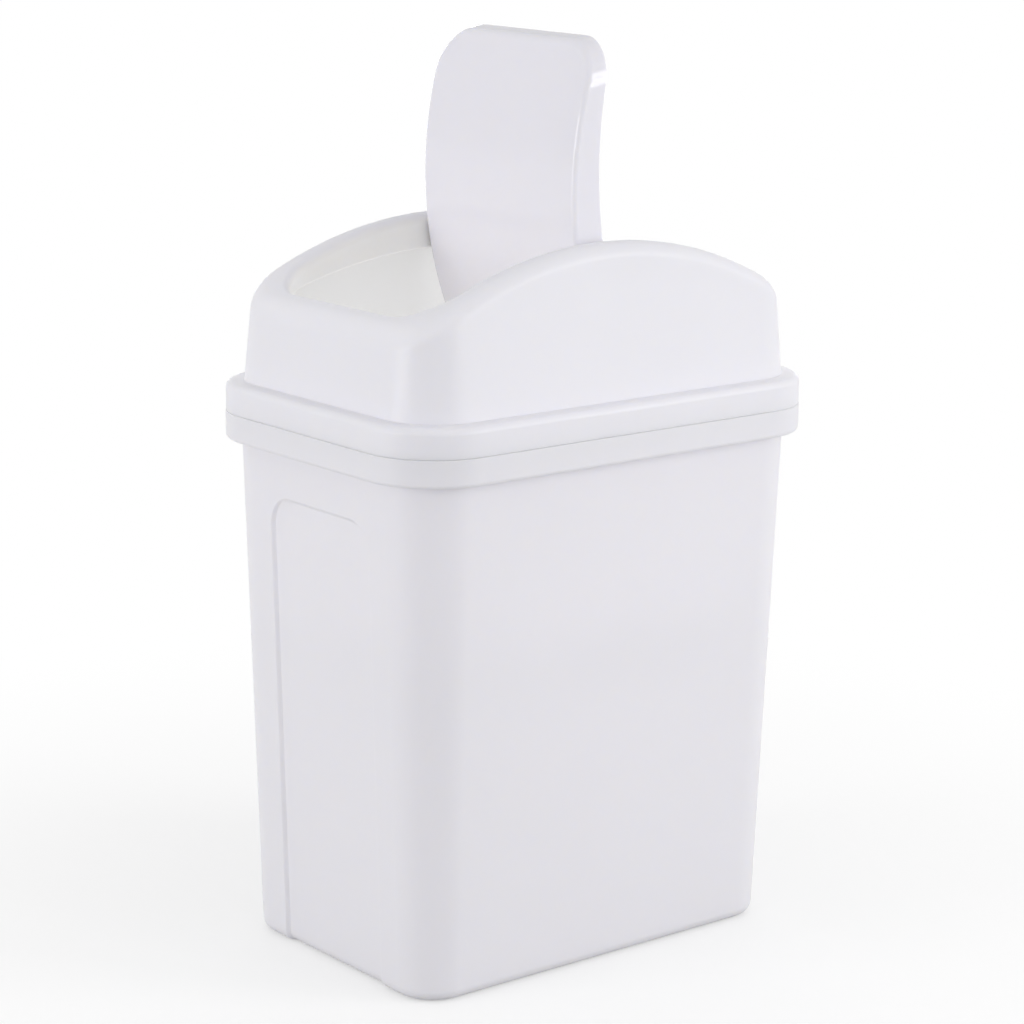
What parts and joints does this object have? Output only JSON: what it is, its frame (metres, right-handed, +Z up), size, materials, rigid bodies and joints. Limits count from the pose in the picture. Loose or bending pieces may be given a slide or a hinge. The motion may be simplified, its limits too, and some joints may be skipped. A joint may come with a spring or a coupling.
{
  "type": "countertop waste bin with swing lid",
  "caption": "Small tapered plastic bin with a lift-off hood and a bowed flap that swings both ways on stub pins, shown with the flap standing open.",
  "frame": {"origin": "the middle of the foot, on the surface the bin stands on", "axes": "+Z up through the bin, +X along its wide sides and along the length of the shut flap, +Y across the narrow sides and along the flap's pins"},
  "size_m": [0.224, 0.156, 0.3926],
  "materials": {
    "bucket_white": "satin gloss moulded polypropylene",
    "hood_white": "gloss moulded polypropylene",
    "flap_white": "gloss moulded polypropylene"
  },
  "bodies": {
    "bucket": {"bucket": "bucket_white"},
    "hood": {"hood": "hood_white"},
    "flap": {"flap": "flap_white"}
  },
  "joints": [
    {"name": "hood_lift", "type": "slide", "parent": "bucket", "child": "hood", "axis": [0, 0, 1], "range_m": [0, 0.12]},
    {"name": "flap_swing", "type": "hinge", "parent": "hood", "child": "flap", "pos_m": [0, 0, 0.3019], "axis": [0, 1, 0], "range_deg": [0, 201.6]}
  ]
}
